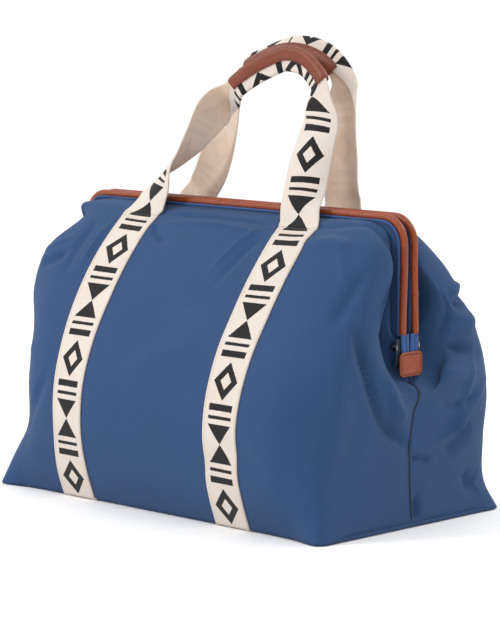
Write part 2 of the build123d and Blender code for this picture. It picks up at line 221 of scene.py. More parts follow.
def webbingMaterial():
    # cotton webbing: ribbed cream ground, a black motif woven in, which shows faintly on the inner face;
    # tan-brown patches on the inner face are painted shade
    look = webbingLook
    material, tree, shader = newMaterial("wovenWebbing", 0.85, **{
        "Sheen Weight": 0.1, "Specular IOR Level": 0.2})
    uv = addNode(tree, "ShaderNodeTexCoord").outputs["UV"]
    split = addNode(tree, "ShaderNodeSeparateXYZ", {0: uv})
    rag = addNode(tree, "ShaderNodeTexNoise", {"Vector": uv, "Scale": 700, "Detail": 1.0})
    # the motif is worked out in steps: a name for the result, what is done, and the two values it is done to
    steps = [("rag", "SUBTRACT", rag, 0.5), ("ragged", "MULTIPLY", "rag", look["ragged"]),
             ("width", "MULTIPLY", split.outputs[0], 1000), ("aside", "ABSOLUTE", "width", 0),
             ("across", "ADD", "aside", "ragged"), ("sideways", "DIVIDE", "across", look["reach"]),
             ("inside", "LESS_THAN", "across", look["reach"]),
             ("length", "MULTIPLY", split.outputs[1], 1000),
             ("repeat", "FLOORED_MODULO", "length", look["period"]), ("along", "ADD", "repeat", "ragged")]
    for name in ("lozenge", "dart"):
        centre, half = look[name]
        steps += [(name + "From", "SUBTRACT", "along", centre), (name + "Away", "ABSOLUTE", name + "From", 0),
                  (name + "Share", "DIVIDE", name + "Away", half)]
    steps += [("diamond", "ADD", "sideways", "lozengeShare"), ("outline", "LESS_THAN", "diamond", 1),
              ("hole", "LESS_THAN", "diamond", look["hole"]), ("ring", "SUBTRACT", "outline", "hole"),
              ("wedge", "LESS_THAN", "sideways", "dartShare"),
              ("dartRun", "LESS_THAN", "dartAway", look["dart"][1]), ("dart", "MULTIPLY", "wedge", "dartRun")]
    bars = 0
    for number, (centre, half) in enumerate(look["bars"]):
        name = f"bar{number}"
        steps += [(name + "From", "SUBTRACT", "along", centre), (name + "Away", "ABSOLUTE", name + "From", 0),
                  (name, "LESS_THAN", name + "Away", half), (name + "Sum", "ADD", bars, name)]
        bars = name + "Sum"
    steps += [("bars", "MULTIPLY", bars, "inside"), ("figures", "ADD", "ring", "dart")]
    made = {}
    for name, operation, a, b in steps:
        a, b = (made[value] if isinstance(value, str) else value for value in (a, b))
        made[name] = addNode(tree, "ShaderNodeMath", {0: a, 1: b}, operation=operation)
    motif = addNode(tree, "ShaderNodeMath", {0: made["figures"], 1: made["bars"]}, operation="ADD",
                    use_clamp=True)
    printed = addNode(tree, "ShaderNodeAttribute", attribute_name="printed").outputs["Fac"]
    rib = addNode(tree, "ShaderNodeTexWave", {"Vector": uv, "Scale": bandScale(look["rib"]), "Distortion": 0.3},
                  bands_direction="DIAGONAL").outputs["Fac"]
    soil = addNode(tree, "ShaderNodeTexNoise", {"Vector": uv, "Scale": 30, "Detail": 3.0})
    patchy = addNode(tree, "ShaderNodeTexNoise", {"Vector": uv, "Scale": 22, "Detail": 2.0})
    ribShare = addNode(tree, "ShaderNodeMath", {0: rib, 1: look["ribShow"]}, operation="MULTIPLY")
    # share of painted shade, tan-brown in patches, on the inner face
    innerShadeShare = addNode(tree, "ShaderNodeMath", {0: patchy, 1: 0.9}, operation="MULTIPLY", use_clamp=True)
    faintShare = addNode(tree, "ShaderNodeMath", {0: motif, 1: look["ghostShow"]}, operation="MULTIPLY")
    # each layer of colour lies over one of those before it
    layers = {"plain": (soil, hexColour(look["cream"]), hexColour(look["shade"])),
              "ground": (ribShare, "plain", hexColour(look["ghost"])),
              "inner": (innerShadeShare, "ground", hexColour(look["inner"])),
              "faint": (faintShare, "inner", hexColour(look["print"])),
              "strong": (motif, "ground", hexColour(look["print"])),
              "both": (printed, "faint", "strong")}
    for name, (share, under, over) in layers.items():
        under, over = (layers[value] if isinstance(value, str) else value for value in (under, over))
        mixed = addNode(tree, "ShaderNodeMix", {0: share, 6: under, 7: over}, data_type="RGBA")
        layers[name] = mixed.outputs[2]
    tree.links.new(layers["both"], shader.inputs["Base Color"])
    bump = addNode(tree, "ShaderNodeBump", {"Height": rib, "Strength": 0.6, "Distance": 0.0005})
    tree.links.new(bump.outputs[0], shader.inputs["Normal"])
    return material


leatherLook = {"light": "#A4481D", "dark": "#5E250E", "grain": 2.2, "roughness": 0.36}
gripLook = {"light": "#8A3D21", "dark": "#50200F", "grain": 2.0, "roughness": 0.4}


def leatherMaterial(name, look):
    # full-grain leather, waxed: fine cell-like grain with a soft shine, darker in its creases
    material, tree, shader = newMaterial(name, look["roughness"], **{"Specular IOR Level": 0.45})
    uv = addNode(tree, "ShaderNodeTexCoord").outputs["UV"]
    cells = addNode(tree, "ShaderNodeTexVoronoi", {
        "Vector": uv, "Scale": 1000 / look["grain"], "Randomness": 1.0}, feature="DISTANCE_TO_EDGE")
    grain = cells.outputs["Distance"]
    creases = addNode(tree, "ShaderNodeMath", {0: grain, 1: 5.0}, operation="MULTIPLY", use_clamp=True)
    cloudy = addNode(tree, "ShaderNodeTexNoise", {"Vector": uv, "Scale": 45, "Detail": 4.0})
    both = addNode(tree, "ShaderNodeMath", {0: creases, 1: cloudy}, operation="ADD")
    tone = addNode(tree, "ShaderNodeMath", {0: both, 1: 0.55}, operation="MULTIPLY")
    colour = addNode(tree, "ShaderNodeMix", {0: tone, 6: hexColour(look["dark"]), 7: hexColour(look["light"])},
                     data_type="RGBA")
    tree.links.new(colour.outputs[2], shader.inputs["Base Color"])
    rough = addNode(tree, "ShaderNodeMapRange", {"Value": cloudy, "To Min": look["roughness"] - 0.1,
                                                "To Max": look["roughness"] + 0.12})
    tree.links.new(rough.outputs[0], shader.inputs["Roughness"])
    bump = addNode(tree, "ShaderNodeBump", {"Height": creases, "Strength": 0.35, "Distance": 0.0004})
    tree.links.new(bump.outputs[0], shader.inputs["Normal"])
    return material


def threadMaterial(name, light, dark):
    # bonded polyester sewing thread: smooth, twisted, a little shiny
    material, tree, shader = newMaterial(name, 0.55)
    place = addNode(tree, "ShaderNodeTexCoord").outputs["Object"]
    twist = addNode(tree, "ShaderNodeTexWave", {"Vector": place, "Scale": bandScale(0.8), "Distortion": 1.0},
                    bands_direction="DIAGONAL").outputs["Fac"]
    colour = addNode(tree, "ShaderNodeMix", {0: twist, 6: hexColour(dark), 7: hexColour(light)},
                     data_type="RGBA")
    tree.links.new(colour.outputs[2], shader.inputs["Base Color"])
    return material


def wovenMaterial(name, light, dark, thread):
    # close-woven cloth, as on a zip tape, a facing or a bag's lining: smooth, with a faint regular weave
    material, tree, shader = newMaterial(name, 0.7, **{"Sheen Weight": 0.08})
    uv = addNode(tree, "ShaderNodeTexCoord").outputs["UV"]
    weave = weaveHeight(tree, uv, thread, 0.2)
    cloudy = addNode(tree, "ShaderNodeTexNoise", {"Vector": uv, "Scale": 25, "Detail": 3.0})
    both = addNode(tree, "ShaderNodeMath", {0: weave, 1: cloudy}, operation="ADD")
    tone = addNode(tree, "ShaderNodeMath", {0: both, 1: 0.6}, operation="MULTIPLY")
    colour = addNode(tree, "ShaderNodeMix", {0: tone, 6: hexColour(dark), 7: hexColour(light)}, data_type="RGBA")
    tree.links.new(colour.outputs[2], shader.inputs["Base Color"])
    bump = addNode(tree, "ShaderNodeBump", {"Height": weave, "Strength": 0.4, "Distance": 0.0003})
    tree.links.new(bump.outputs[0], shader.inputs["Normal"])
    return material


def metalMaterial(name, light, dark, roughness, brush):
    # drawn, plated or tumbled metal: fine scratches, spaced by brush along each axis, break up the shine
    material, tree, shader = newMaterial(name, roughness, Metallic=1.0)
    place = addNode(tree, "ShaderNodeTexCoord").outputs["Object"]
    stretched = addNode(tree, "ShaderNodeMapping", {"Vector": place, "Scale": brush})
    scratch = addNode(tree, "ShaderNodeTexNoise", {"Vector": stretched, "Scale": 1.0, "Detail": 3.0})
    colour = addNode(tree, "ShaderNodeMix", {0: scratch, 6: hexColour(dark), 7: hexColour(light)},
                     data_type="RGBA")
    tree.links.new(colour.outputs[2], shader.inputs["Base Color"])
    rough = addNode(tree, "ShaderNodeMapRange", {"Value": scratch, "To Min": roughness - 0.08,
                                                "To Max": roughness + 0.12})
    tree.links.new(rough.outputs[0], shader.inputs["Roughness"])
    return material


def plasticMaterial(name, light, dark, roughness, cell):
    # moulded plastic: a fine spark-eroded texture takes the gloss down
    material, tree, shader = newMaterial(name, roughness)
    place = addNode(tree, "ShaderNodeTexCoord").outputs["Object"]
    texture = addNode(tree, "ShaderNodeTexNoise", {"Vector": place, "Scale": 1000 / cell, "Detail": 2.0})
    colour = addNode(tree, "ShaderNodeMix", {0: texture, 6: hexColour(dark), 7: hexColour(light)},
                     data_type="RGBA")
    tree.links.new(colour.outputs[2], shader.inputs["Base Color"])
    bump = addNode(tree, "ShaderNodeBump", {"Height": texture, "Strength": 0.3, "Distance": 0.0003})
    tree.links.new(bump.outputs[0], shader.inputs["Normal"])
    return material


canvas = canvasMaterial()
webbingCloth = webbingMaterial()
trimLeather = leatherMaterial("waxedTrimLeather", leatherLook)
gripLeather = leatherMaterial("waxedGripLeather", gripLook)
navyThread = threadMaterial("navyThread", "#1A2640", "#0E1729")
brownThread = threadMaterial("brownThread", "#5A2F22", "#2E1610")
creamThread = threadMaterial("creamThread", "#EADFD5", "#CDBFB0")
# the facing's near-black navy is painted shade: it makes the recess at each end read dark
facingShadeCloth = wovenMaterial("canvasFacingPaintedShade", "#172642", "#101B31", 1.1)
tapeCloth = wovenMaterial("zipTapeCloth", "#2C5A98", "#1C4178", 0.9)
liningCloth = wovenMaterial("polyesterLining", "#A9A29A", "#8B847C", 0.8)
nylonTeeth = plasticMaterial("mouldedNylon", "#26385C", "#1A2744", 0.4, 1.5)
boardPlastic = plasticMaterial("polyethyleneBoard", "#2A2A2B", "#1C1C1D", 0.6, 2.0)
springSteel = metalMaterial("drawnSpringSteel", "#9A9A9C", "#6E6E71", 0.3, (900, 40, 900))
platedSteel = metalMaterial("zincPlatedSteel", "#C4C6C8", "#9B9DA0", 0.35, (60, 60, 900))
sliderMetal = metalMaterial("tumbledZincAlloy", "#A9A39A", "#7C766D", 0.32, (300, 300, 300))
print("materials made")


def newObject(name, points, faces, material, uvs=None, attributes=None):
    mesh = bpy.data.meshes.new(name)
    mesh.from_pydata([tuple(p) for p in points], [], faces)
    mesh.materials.append(material)
    if uvs is not None:
        layer = mesh.uv_layers.new(name="cloth")
        loopUvs = np.array(uvs, float)
        if len(loopUvs) != len(mesh.loops):
            index = np.zeros(len(mesh.loops), int)
            mesh.loops.foreach_get("vertex_index", index)
            loopUvs = loopUvs[index]
        layer.data.foreach_set("uv", loopUvs.ravel())
    for key, values in (attributes or {}).items():
        layer = mesh.attributes.new(key, "FLOAT", "POINT")
        layer.data.foreach_set("value", np.asarray(values, np.float32))
    mesh.update()
    mesh.polygons.foreach_set("use_smooth", [True] * len(mesh.polygons))
    obj = bpy.data.objects.new(name, mesh)
    bpy.context.scene.collection.objects.link(obj)
    return obj


def facesOutward(obj, merge=False):
    # points are merged only on a piece with no uv map
    work = bmesh.new()
    work.from_mesh(obj.data)
    if merge:
        bmesh.ops.remove_doubles(work, verts=work.verts, dist=1e-6)
    bmesh.ops.recalc_face_normals(work, faces=work.faces)
    work.to_mesh(obj.data)
    work.free()
    return obj


def sweep(name, path, outward, sideways, section, material, scale=None):
    # a closed section (points in metres along outward and sideways) carried along a path
    path, outward, sideways = (np.asarray(a, float) for a in (path, outward, sideways))
    section = np.asarray(section, float)
    if section.ndim == 2:
        section = np.repeat(section[None], len(path), axis=0)
    if scale is not None:
        section = section * np.asarray(scale)[:, None, None]
    count, ring = section.shape[:2]
    points = (path[:, None] + section[:, :, :1] * outward[:, None] + section[:, :, 1:] * sideways[:, None])
    along = np.concatenate([[0], np.cumsum(np.linalg.norm(np.diff(path, axis=0), axis=1))])
    around = np.concatenate([[0], np.cumsum(np.linalg.norm(np.diff(section[count // 2], axis=0), axis=1))])
    closing = around[-1] + np.linalg.norm(section[count // 2][0] - section[count // 2][-1])
    faces, uvs = [], []
    for i in range(count - 1):
        for j in range(ring):
            k = (j + 1) % ring
            faces.append((i * ring + j, i * ring + k, (i + 1) * ring + k, (i + 1) * ring + j))
            far = around[k] if k else closing
            uvs += [(around[j], along[i]), (far, along[i]), (far, along[i + 1]), (around[j], along[i + 1])]
    for first, turn in ((0, 1), ((count - 1) * ring, -1)):
        faces.append(tuple(first + j for j in range(ring))[::-turn])
        uvs += [(around[j], along[0 if first == 0 else -1]) for j in range(ring)][::-turn]
    return facesOutward(newObject(name, points.reshape(-1, 3), faces, material, uvs))


def roundSection(radius, count=16, squash=1.0):
    angles = np.linspace(0, 2 * math.pi, count, endpoint=False)
    return np.stack([radius * np.cos(angles), radius * squash * np.sin(angles)], axis=1)


def softBox(outLow, outHigh, sideLow, sideHigh, power=3.2, count=28):
    # rounded rectangle: outward range by sideways range
    angles = np.linspace(0, 2 * math.pi, count, endpoint=False)
    c, s = np.cos(angles), np.sin(angles)
    x = np.sign(c) * np.abs(c) ** (2 / power)
    y = np.sign(s) * np.abs(s) ** (2 / power)
    return np.stack([(outLow + outHigh) / 2 + x * (outHigh - outLow) / 2,
                     (sideLow + sideHigh) / 2 + y * (sideHigh - sideLow) / 2], axis=1)


# the mouth's rounded U, from the pipings' own CAD boxes
pipeLow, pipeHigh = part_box("front_piping")
pipeRadius = (pipeHigh.y - pipeLow.y) / 2
rimHalf = pipeHigh.x - pipeRadius
rimTop = pipeHigh.z - pipeRadius
rimCorner = 0.030


def mouthPath(y, inset, foot, step=0.004):
    # points and outward directions along the U, inset from the pipings' centre line
    half, top, radius = rimHalf - inset, rimTop - inset, rimCorner - inset
    leg = np.linspace(foot, top - radius, max(2, round((top - radius - foot) / step)))
    run = np.linspace(-half + radius, half - radius, round(2 * (half - radius) / step))
    bend = np.radians(np.linspace(0, 90, 12)[1:-1])
    points = [(-half, z) for z in leg]
    outs = [(-1, 0)] * len(leg)
    points += [(-half + radius - radius * math.cos(a), top - radius + radius * math.sin(a)) for a in bend]
    outs += [(-math.cos(a), math.sin(a)) for a in bend]
    points += [(x, top) for x in run]
    outs += [(0, 1)] * len(run)
    points += [(half - radius + radius * math.sin(a), top - radius + radius * math.cos(a)) for a in bend]
    outs += [(math.sin(a), math.cos(a)) for a in bend]
    points += [(half, z) for z in leg[::-1]]
    outs += [(1, 0)] * len(leg)
    points, outs = np.array(points), np.array(outs)
    path = np.stack([points[:, 0], np.full(len(points), y), points[:, 1]], axis=1)
    outward = np.stack([outs[:, 0], np.zeros(len(outs)), outs[:, 1]], axis=1)
    return path, outward, np.tile((0.0, 1.0, 0.0), (len(path), 1))


def runTree(name, obj, tree, settings):
    # runs a node tree on an object and returns the result as plain mesh
    modifier = obj.modifiers.new(name, "NODES")
    modifier.node_group = tree
    sockets = {item.name: item.identifier for item in tree.interface.items_tree if item.in_out == "INPUT"}
    for key, value in settings.items():
        modifier[sockets[key]] = value
    bpy.context.view_layer.update()
    result = obj.evaluated_get(bpy.context.evaluated_depsgraph_get())
    mesh = bpy.data.meshes.new_from_object(result)
    obj.modifiers.remove(modifier)
    bpy.data.objects.remove(obj)
    made = bpy.data.objects.new(name, mesh)
    mesh.name = name
    bpy.context.scene.collection.objects.link(made)
    return made


def rowTree(name, inputs):
    tree = bpy.data.node_groups.new(name, "GeometryNodeTree")
    tree.interface.new_socket("Geometry", in_out="INPUT", socket_type="NodeSocketGeometry")
    for label, kind, value in inputs:
        socket = tree.interface.new_socket(label, in_out="INPUT", socket_type=kind)
        if value is not None:
            socket.default_value = value
    tree.interface.new_socket("Geometry", in_out="OUTPUT", socket_type="NodeSocketGeometry")
    return tree, addNode(tree, "NodeGroupInput").outputs


def stitchTree():
    # one little capsule of thread after another along a seam
    tree, given = rowTree("stitchRow", [("Pitch", "NodeSocketFloat", 0.004),
                                        ("Length", "NodeSocketFloat", 0.003),
                                        ("Thickness", "NodeSocketFloat", 0.0007),
                                        ("Thread", "NodeSocketMaterial", None)])
    spots = addNode(tree, "GeometryNodeCurveToPoints", {"Curve": given["Geometry"], "Length": given["Pitch"]},
                    mode="LENGTH")
    bead = addNode(tree, "GeometryNodeMeshUVSphere", {"Segments": 6, "Rings": 4, "Radius": 0.5})
    size = addNode(tree, "ShaderNodeCombineXYZ", {
        0: given["Thickness"], 1: given["Thickness"], 2: given["Length"]})
    placed = addNode(tree, "GeometryNodeInstanceOnPoints", {"Points": spots.outputs["Points"],
                     "Instance": bead.outputs["Mesh"], "Rotation": spots.outputs["Rotation"],
                     "Scale": size.outputs[0]})
    real = addNode(tree, "GeometryNodeRealizeInstances", {"Geometry": placed.outputs[0]})
    smoothed = addNode(tree, "GeometryNodeSetShadeSmooth", {"Geometry": real.outputs[0]})
    finish = addNode(tree, "GeometryNodeSetMaterial", {"Geometry": smoothed.outputs[0],
                                                      "Material": given["Thread"]})
    addNode(tree, "NodeGroupOutput", {"Geometry": finish.outputs[0]})
    return tree


stitchRow = stitchTree()


def seamCurve(name, rows):
    # one poly spline for each row of points
    data = bpy.data.curves.new(name, "CURVE")
    data.dimensions = "3D"
    for row in rows:
        spline = data.splines.new("POLY")
        spline.points.add(len(row) - 1)
        for point, place in zip(spline.points, row):
            point.co = (*place, 1)
    obj = bpy.data.objects.new(name, data)
    bpy.context.scene.collection.objects.link(obj)
    return obj


def stitches(name, rows, thread, pitch=0.0042, length=0.0031, thickness=0.0009):
    return runTree(name, seamCurve(name + "Line", rows), stitchRow,
                   {"Pitch": pitch, "Length": length, "Thickness": thickness, "Thread": thread})


def gridNormals(grid):
    across = np.gradient(grid, axis=1)
    up = np.gradient(grid, axis=0)
    normal = np.cross(across, up)
    return normal / (np.linalg.norm(normal, axis=2, keepdims=True) + 1e-12)


def clothSheet(name, grid, thickness, material, outward=1, uv=None, printed=False):
    # a sheet of cloth: the grid is its outer face; a back face and closed edges are added
    rows, cols = grid.shape[:2]
    back = grid - gridNormals(grid) * outward * thickness
    if uv is None:
        middle = grid[:, cols // 2]
        up = np.concatenate([[0], np.cumsum(np.linalg.norm(np.diff(middle, axis=0), axis=1))])
        widest = grid[rows // 3]
        across = np.concatenate([[0], np.cumsum(np.linalg.norm(np.diff(widest, axis=0), axis=1))])
        uv = np.stack(np.meshgrid(across, up), axis=2)
    index = np.arange(rows * cols).reshape(rows, cols)
    a, b, c, d = index[:-1, :-1], index[:-1, 1:], index[1:, 1:], index[1:, :-1]
    front = np.stack([a, b, c, d], axis=-1).reshape(-1, 4)
    rear = front[:, ::-1] + rows * cols
    edge = np.concatenate([index[0, :-1], index[:-1, -1], index[-1, :0:-1], index[:0:-1, 0]])
    after = np.roll(edge, -1)
    rim = np.stack([after, edge, edge + rows * cols, after + rows * cols], axis=-1)
    faces = np.concatenate([front, rear, rim])
    if outward < 0:
        faces = faces[:, ::-1]
    points = np.concatenate([grid.reshape(-1, 3), back.reshape(-1, 3)])
    uvs = np.concatenate([uv.reshape(-1, 2)] * 2)
    marks = None
    if printed:
        marks = {"printed": np.repeat([1.0, 0.0], rows * cols)}
    return newObject(name, points, faces.tolist(), material, uvs, marks)


# valleys (depth below zero) and ridges in the canvas: points in mm that a fold runs through
folds = {
    -1: [
        {"through": [(268, -90, 252), (276, -91, 223), (282, -76, 171), (279, -50, 128), (274, -22, 108),
                     (272, -4, 95)],
         "width": 11, "depth": -8},
        {"through": [(284, -58, 185), (282, -38, 148), (276, -14, 128)], "width": 13, "depth": 5},
        {"through": [(279, -62, 176), (280, -44, 146), (276, -30, 118)], "width": 9, "depth": -5},
        {"through": [(180, -48, 338), (222, -66, 322), (252, -86, 282)], "width": 12, "depth": 2.2},
        {"through": [(262, -118, 205), (268, -120, 130), (262, -135, 70)], "width": 20, "depth": 3},
        {"through": [(150, -38, 343), (200, -34, 345), (238, -26, 347), (262, -30, 330)],
         "width": 8, "depth": -6},
        {"through": [(150, -60, 330), (205, -62, 330), (240, -60, 328)], "width": 12, "depth": 3},
        {"through": [(269, -61, 315), (258, -92, 275), (249, -112, 240)], "width": 14, "depth": -4},
        {"through": [(-105, -38, 344), (0, -37, 344), (104, -40, 342)], "width": 5, "depth": -3},
        {"through": [(-102, -54, 335), (-20, -50, 338), (60, -53, 336), (104, -58, 332)],
         "width": 5, "depth": 2.6},
        {"through": [(80, -50, 337), (60, -66, 323), (36, -96, 286)], "width": 5, "depth": 2.4},
        {"through": [(90, -58, 330), (74, -74, 312), (54, -104, 272)], "width": 9, "depth": -2.5},
        {"through": [(-104, -50, 337), (-86, -66, 322), (-60, -74, 314)], "width": 5, "depth": -3},
        {"through": [(-272, -80, 290), (-250, -80, 298), (-225, -76, 309)], "width": 5, "depth": 3.5},
        {"through": [(-268, -92, 272), (-240, -98, 282), (-214, -92, 296)], "width": 9, "depth": -3.5},
        {"through": [(-184, -108, 270), (-180, -82, 304), (-174, -56, 332)], "width": 5, "depth": 2.6},
        {"through": [(-204, -110, 262), (-204, -82, 300), (-200, -56, 332)], "width": 10, "depth": -3},
        {"through": [(-250, -140, 62), (-200, -168, 110), (-172, -164, 160)], "width": 12, "depth": -3},
        {"through": [(-272, -104, 150), (-256, -140, 172), (-215, -160, 180)], "width": 14, "depth": 3},
        {"through": [(-276, -84, 226), (-283, -66, 170), (-276, -36, 124), (-273, -8, 100)],
         "width": 12, "depth": -7},
        {"through": [(60, -170, 60), (150, -170, 90), (215, -168, 70)], "width": 26, "depth": -2},
        {"through": [(-60, -165, 150), (20, -150, 190), (90, -140, 215)], "width": 30, "depth": 2},
    ],
    1: [
        {"through": [(276, 30, 150), (279, 58, 138), (278, 92, 140), (268, 122, 156)],
         "width": 7, "depth": -4},
        {"through": [(279, 96, 200), (280, 90, 160), (275, 76, 118), (272, 66, 84)], "width": 9, "depth": 4},
        {"through": [(262, 98, 264), (274, 84, 259), (280, 62, 250)], "width": 7, "depth": -6},
        {"through": [(258, 92, 276), (270, 78, 272), (277, 58, 266)], "width": 7, "depth": 4},
        {"through": [(272, 0, 83), (271, 18, 78), (272, 38, 74)], "width": 5, "depth": -4},
        {"through": [(274, 34, 92), (278, 74, 112), (280, 98, 135), (274, 134, 160)], "width": 8, "depth": 5},
        {"through": [(273, 52, 80), (277, 84, 92), (276, 112, 110)], "width": 16, "depth": -5},
        {"through": [(280, 24, 226), (286, 56, 211), (284, 102, 197)], "width": 11, "depth": -8},
        {"through": [(284, 40, 240), (284, 76, 238), (270, 108, 226)], "width": 17, "depth": 6},
        {"through": [(285, 30, 180), (284, 70, 176), (276, 108, 176)], "width": 12, "depth": 4},
        {"through": [(272, 10, 38), (275, 9, 4)], "width": 6, "depth": -4},
        {"through": [(266, 138, 52), (270, 120, 38), (273, 134, 18)], "width": 4, "depth": 2.5},
        {"through": [(268, 100, 52), (272, 108, 28)], "width": 10, "depth": -3},
        {"through": [(-276, 84, 226), (-283, 66, 170), (-276, 36, 124), (-273, 8, 100)],
         "width": 12, "depth": -7},
        {"through": [(-272, 104, 150), (-256, 140, 172), (-215, 160, 180)], "width": 14, "depth": 3},
        {"through": [(-105, 38, 344), (0, 37, 344), (104, 40, 342)], "width": 5, "depth": -3},
        {"through": [(-102, 54, 335), (-20, 50, 338), (104, 58, 332)], "width": 5, "depth": 2.6},
        {"through": [(80, 50, 337), (60, 66, 323), (36, 96, 286)], "width": 5, "depth": 2.4},
        {"through": [(-184, 108, 270), (-180, 82, 304), (-174, 56, 332)], "width": 5, "depth": 2.6},
        {"through": [(60, 170, 60), (150, 170, 90), (215, 168, 70)], "width": 26, "depth": -2},
        {"through": [(-60, 165, 150), (20, 150, 190), (90, 140, 215)], "width": 30, "depth": 2},
    ],
}


# fade is the share of a fold over which each end dies away, endDepth what is left at its very end
foldLook = {"strength": 1.6, "tightness": 0.7, "fade": 0.3, "endDepth": 0.15, "samples": 40, "edgeRows": 4}


def folded(grid, side):
    # presses this side's folds into the grid along its own normals
    normal = gridNormals(grid) * -side
    push = np.zeros(grid.shape[:2])
    for fold in folds[side]:
        line = np.array(fold["through"], float) / 1000
        line = throughPoints(line, np.arange(len(line)), np.linspace(0, len(line) - 1, foldLook["samples"]))
        distance = np.linalg.norm(grid[:, :, None] - line, axis=3)
        nearest = distance.argmin(axis=2)
        along = nearest / (len(line) - 1)
        fade = smooth(along / foldLook["fade"]) * smooth((1 - along) / foldLook["fade"])
        width = fold["width"] * foldLook["tightness"]
        shape = np.exp(-(distance.min(axis=2) * 1000 / width) ** 2)
        depth = fold["depth"] * foldLook["strength"]
        push += depth * shape * (foldLook["endDepth"] + (1 - foldLook["endDepth"]) * fade)
    row = np.arange(grid.shape[0])
    edge = np.minimum(1, np.minimum(row, row[::-1]) / foldLook["edgeRows"])
    return grid + normal * (push * edge[:, None] / 1000)[:, :, None]


shells = {side: folded(shellGrid(side), side) for side in (-1, 1)}
shellColumns = np.linspace(-netAcross[-1], netAcross[-1], shells[-1].shape[1])
shellNormals = {side: gridNormals(shells[side]) * -side for side in shells}


def onShell(side, columns, rows, lift):
    # points over the canvas at each row (a share of the way up) and column (mm from the middle)
    grid, normal = shells[side], shellNormals[side]
    x = np.interp(columns, shellColumns, np.arange(len(shellColumns)))
    y = np.asarray(rows) * (grid.shape[0] - 1)
    i = np.clip(x.astype(int), 0, grid.shape[1] - 2)
    j = np.clip(y.astype(int), 0, grid.shape[0] - 2)
    p = (x - i)[None, :, None]
    q = (y - j)[:, None, None]

    def blended(field):
        low = field[j][:, i] * (1 - p) + field[j][:, i + 1] * p
        high = field[j + 1][:, i] * (1 - p) + field[j + 1][:, i + 1] * p
        return low * (1 - q) + high * q

    return blended(grid) + blended(normal) * lift


halves = {-1: "front", 1: "rear"}
hands = {-1: "left", 1: "right"}
shellLook = {"thickness": 0.0016, "liningScale": (0.895, 0.95, 0.986), "liningThickness": 0.0008,
             "seamRadius": 0.0009, "seamProud": 0.0004}


def acrossHinge(obj):
    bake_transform(obj)


for side, half in halves.items():
    shell = clothSheet(half + "Shell", shells[side], shellLook["thickness"], canvas, outward=-side)
    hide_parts(half + "_outer_panel", half + "_upper_panel")
    acrossHinge(shell)
    inner = (shells[side] * shellLook["liningScale"])[3:-2:2, 2:-2:2]
    lining = clothSheet(half + "Lining", inner, shellLook["liningThickness"], liningCloth, outward=-side)
    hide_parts("lining", half + "_upper_lining")
    acrossHinge(lining)

# a dark seam where the two halves meet at each end
for hand, place in hands.items():
    line = shells[-1][3:-2, -1 if hand > 0 else 0] + np.array([hand * shellLook["seamProud"], 0, 0])
    outward = np.tile((float(hand), 0.0, 0.0), (len(line), 1))
    sideways = np.tile((0.0, 1.0, 0.0), (len(line), 1))
    section = roundSection(shellLook["seamRadius"], 6)
    seam = sweep(place + "EndSeam", line, outward, sideways, section, navyThread)
    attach(seam, "bag")
print("shells and lining made")


baseLook = {"low": 0.0014, "thickness": 0.0018, "liningHeight": 0.0088, "liningThickness": 0.0008}


def baseSheet(name, height, thickness, material, inset):
    front, rear = shells[-1][0], shells[1][0]
    share = np.linspace(0, 1, 25)[:, None, None]
    grid = front[None] * (1 - share) + rear[None] * share
    centre = grid.mean(axis=(0, 1))
    grid = centre + (grid - centre) * (1 - inset)
    grid[:, :, 2] = height
    return clothSheet(name, grid[:, 1:-1], thickness, material, outward=1)


baseCloth = baseSheet("baseCloth", baseLook["low"] + baseLook["thickness"], baseLook["thickness"], canvas, 0.002)
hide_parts("base_panel")
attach(baseCloth, "bag")
liningFloor = baseSheet("liningFloor", baseLook["liningHeight"] + baseLook["liningThickness"],
                        baseLook["liningThickness"], liningCloth, 0.03)
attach(liningFloor, "bag")

# slip pockets on the lining, sagging between their seams; low and high are shares of the way up
pocketLook = {"low": 0.09, "high": 0.37, "half": 205, "count": 4, "lift": -0.0112, "sag": 0.006}
for side, half in halves.items():
    columns = np.linspace(-pocketLook["half"], pocketLook["half"], 121)
    rows = np.linspace(pocketLook["low"], pocketLook["high"], 25)
    grid = onShell(side, columns, rows, pocketLook["lift"])
    wave = np.abs(np.sin(np.pi * pocketLook["count"] * (columns / pocketLook["half"] + 1) / 2))
    belly = np.outer(np.linspace(0.15, 1, 25) ** 0.7, wave ** 0.6) * pocketLook["sag"]
    grid = grid - np.array([0, side, 0]) * belly[:, :, None]
    pockets = clothSheet(half + "PocketRow", grid, 0.001, liningCloth, outward=-side)
    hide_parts(half + "_pocket_row")
    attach(pockets, "bag")
    hem = grid[-1]
    outward = np.tile((0.0, 0.0, 1.0), (len(hem), 1))
    sideways = np.tile((0.0, 1.0, 0.0), (len(hem), 1))
    elastic = sweep(half + "PocketHem", hem, outward, sideways, roundSection(0.0022, 10, 0.7), liningCloth)
    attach(elastic, "bag")
print("base and pockets made")

